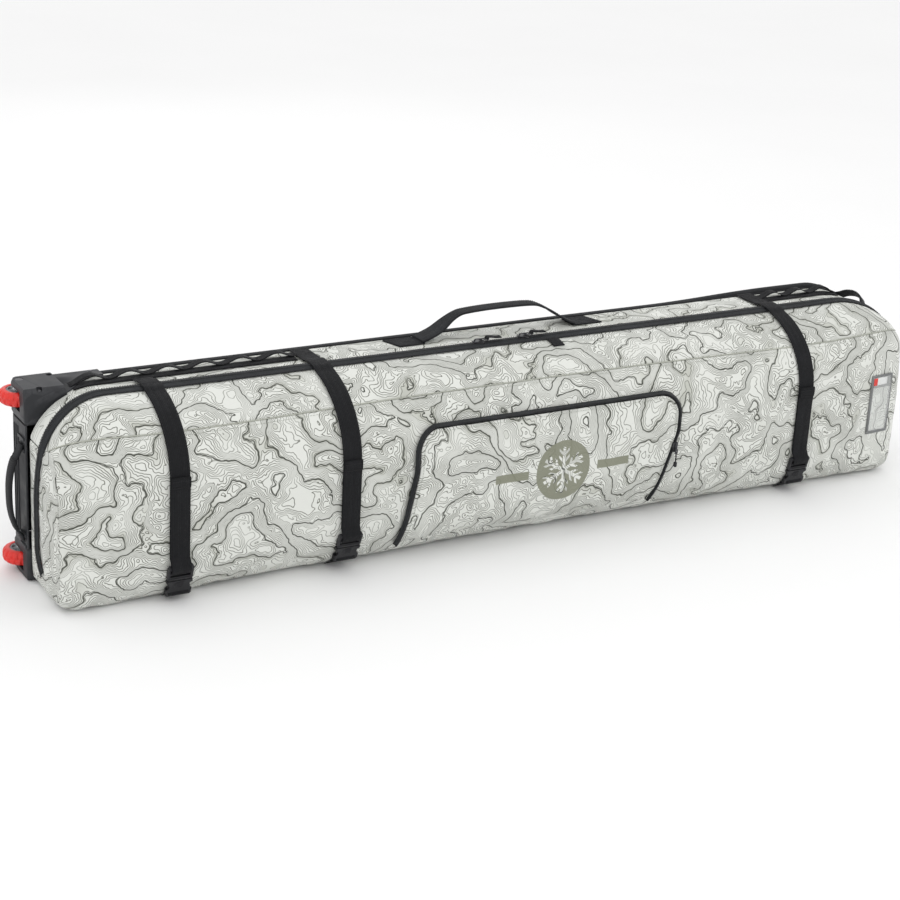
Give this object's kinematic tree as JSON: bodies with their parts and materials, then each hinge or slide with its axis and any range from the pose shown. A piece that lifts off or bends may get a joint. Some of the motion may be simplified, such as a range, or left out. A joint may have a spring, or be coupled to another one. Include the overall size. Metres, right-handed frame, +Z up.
{
  "type": "ski bag",
  "caption": "Long wheeled ski and snowboard bag lying on one side, with a zipped clamshell lid, compression straps, front pocket, carry handle and end grab handles.",
  "frame": {"origin": "on the flat bottom side wall that the bag lies on, at the middle of the body's length and 103 mm forward of the base panel's outer face", "axes": "+X from the wheel end to the tip end, +Y from the lid to the wheeled base, +Z up as the bag lies on its long side"},
  "size_m": [1.9023, 0.315, 0.4146],
  "materials": {
    "print_fabric": "printed coated canvas, fine weave",
    "base_fabric": "black coated heavy canvas",
    "webbing": "black woven polypropylene webbing",
    "zip_tape": "dark woven zip tape",
    "moulding": "dark grey textured moulding",
    "sheet_plastic": "plain sheet",
    "buckle_plastic": "black acetal, slightly glossy edges",
    "tyre_red": "red polyurethane tread",
    "hub_grey": "grey nylon",
    "steel": "zinc plated",
    "zip_metal": "dark painted",
    "clear_window": "clear flexible film"
  },
  "bodies": {
    "shell": {"base_panel": "base_fabric", "frame_sheet": "sheet_plastic", "skid_rail_upper": "moulding", "skid_rail_lower": "moulding", "top_wall": "print_fabric", "bottom_wall": "print_fabric", "wheel_end_wall": "print_fabric", "tip_end_wall": "print_fabric", "kick_plate": "moulding", "wheel_housing_upper": "moulding", "wheel_housing_lower": "moulding", "housing_screw_upper_front": "steel", "housing_screw_upper_inner": "steel", "housing_screw_lower_front": "steel", "housing_screw_lower_inner": "steel", "wheel_upper_axle_bolt": "steel", "wheel_lower_axle_bolt": "steel", "main_zip_tape_body": "zip_tape", "carry_handle_anchor_wheel_side": "webbing", "carry_handle_anchor_tip_side": "webbing", "daisy_chain_wheel_end": "webbing", "daisy_chain_tip_end": "webbing"},
    "lid": {"lid_front_panel": "print_fabric", "lid_top_gusset": "print_fabric", "lid_wheel_end_gusset": "print_fabric", "lid_tip_end_gusset": "print_fabric", "main_zip_tape_lid": "zip_tape", "pocket_panel": "print_fabric", "pocket_zip_rim": "zip_tape", "identity_frame": "moulding", "identity_window": "clear_window", "strap_wheel_end_socket": "buckle_plastic", "strap_wheel_end_anchor": "webbing", "strap_middle_socket": "buckle_plastic", "strap_middle_anchor": "webbing", "strap_tip_end_socket": "buckle_plastic", "strap_tip_end_anchor": "webbing"},
    "wheel_upper": {"wheel_upper_tyre": "tyre_red", "wheel_upper_hub": "hub_grey", "wheel_upper_bearing_top": "steel", "wheel_upper_bearing_bottom": "steel"},
    "wheel_lower": {"wheel_lower_tyre": "tyre_red", "wheel_lower_hub": "hub_grey", "wheel_lower_bearing_top": "steel", "wheel_lower_bearing_bottom": "steel"},
    "strap_wheel_end_upper": {"strap_wheel_end_webbing": "webbing", "strap_wheel_end_plug": "buckle_plastic"},
    "strap_middle_upper": {"strap_middle_webbing": "webbing", "strap_middle_plug": "buckle_plastic"},
    "strap_tip_end_upper": {"strap_tip_end_webbing": "webbing", "strap_tip_end_plug": "buckle_plastic"},
    "zip_slider_wheel_side": {"zip_slider_wheel_side": "zip_metal"},
    "zip_pull_wheel_side": {"zip_pull_wheel_side": "zip_metal"},
    "zip_slider_tip_side": {"zip_slider_tip_side": "zip_metal"},
    "zip_pull_tip_side": {"zip_pull_tip_side": "zip_metal"},
    "pocket_slider": {"pocket_slider": "zip_metal"},
    "pocket_pull": {"pocket_pull": "webbing"},
    "carry_handle": {"carry_handle": "webbing"},
    "wheel_end_handle": {"wheel_end_handle": "webbing"},
    "tip_end_handle": {"tip_end_handle": "webbing"}
  },
  "joints": [
    {"name": "lid_hinge", "type": "hinge", "parent": "shell", "child": "lid", "pos_m": [0, -0.0775, 0], "axis": [1, 0, 0], "range_deg": [0, 80]},
    {"name": "wheel_upper_spin", "type": "hinge", "parent": "shell", "child": "wheel_upper", "pos_m": [-0.923, 0.096, 0.334], "axis": [0, 0, 1], "continuous": true},
    {"name": "wheel_lower_spin", "type": "hinge", "parent": "shell", "child": "wheel_lower", "pos_m": [-0.923, 0.096, 0.03], "axis": [0, 0, 1], "continuous": true},
    {"name": "strap_wheel_end_release", "type": "slide", "parent": "lid", "child": "strap_wheel_end_upper", "axis": [0, -0.2986, 0.9544], "range_m": [0, 0.03]},
    {"name": "strap_middle_release", "type": "slide", "parent": "lid", "child": "strap_middle_upper", "axis": [0, -0.3897, 0.9209], "range_m": [0, 0.03]},
    {"name": "strap_tip_end_release", "type": "slide", "parent": "lid", "child": "strap_tip_end_upper", "axis": [0, -0.2735, 0.9619], "range_m": [0, 0.03]},
    {"name": "zip_slider_wheel_side_travel", "type": "slide", "parent": "shell", "child": "zip_slider_wheel_side", "axis": [-1, 0, 0], "range_m": [0, 0.3]},
    {"name": "zip_pull_wheel_side_swing", "type": "hinge", "parent": "zip_slider_wheel_side", "child": "zip_pull_wheel_side", "pos_m": [-0.048, -0.012, 0.3713], "axis": [0, -1, 0], "range_deg": [0, 160]},
    {"name": "zip_slider_tip_side_travel", "type": "slide", "parent": "shell", "child": "zip_slider_tip_side", "axis": [1, 0, 0], "range_m": [0, 0.5]},
    {"name": "zip_pull_tip_side_swing", "type": "hinge", "parent": "zip_slider_tip_side", "child": "zip_pull_tip_side", "pos_m": [0.052, -0.012, 0.3713], "axis": [0, -1, 0], "range_deg": [0, 160]},
    {"name": "pocket_slider_travel", "type": "slide", "parent": "lid", "child": "pocket_slider", "axis": [0.3243, 0, 0.9459], "range_m": [-0.03, 0.02]},
    {"name": "pocket_pull_swing", "type": "hinge", "parent": "pocket_slider", "child": "pocket_pull", "pos_m": [0.31671, -0.18177, 0.154], "axis": [1, 0, 0], "range_deg": [-100, 0]},
    {"name": "carry_handle_swing", "type": "hinge", "parent": "shell", "child": "carry_handle", "pos_m": [0.02, 0.072, 0.3635], "axis": [1, 0, 0], "range_deg": [-80, 0]},
    {"name": "wheel_end_handle_swing", "type": "hinge", "parent": "shell", "child": "wheel_end_handle", "pos_m": [-0.9375, 0.062, 0.17], "axis": [0, 0, 1], "range_deg": [-70, 0]},
    {"name": "tip_end_handle_swing", "type": "hinge", "parent": "shell", "child": "tip_end_handle", "pos_m": [0.92631, 0.05, 0.32347], "axis": [0, 1, 0], "range_deg": [0, 70]}
  ]
}
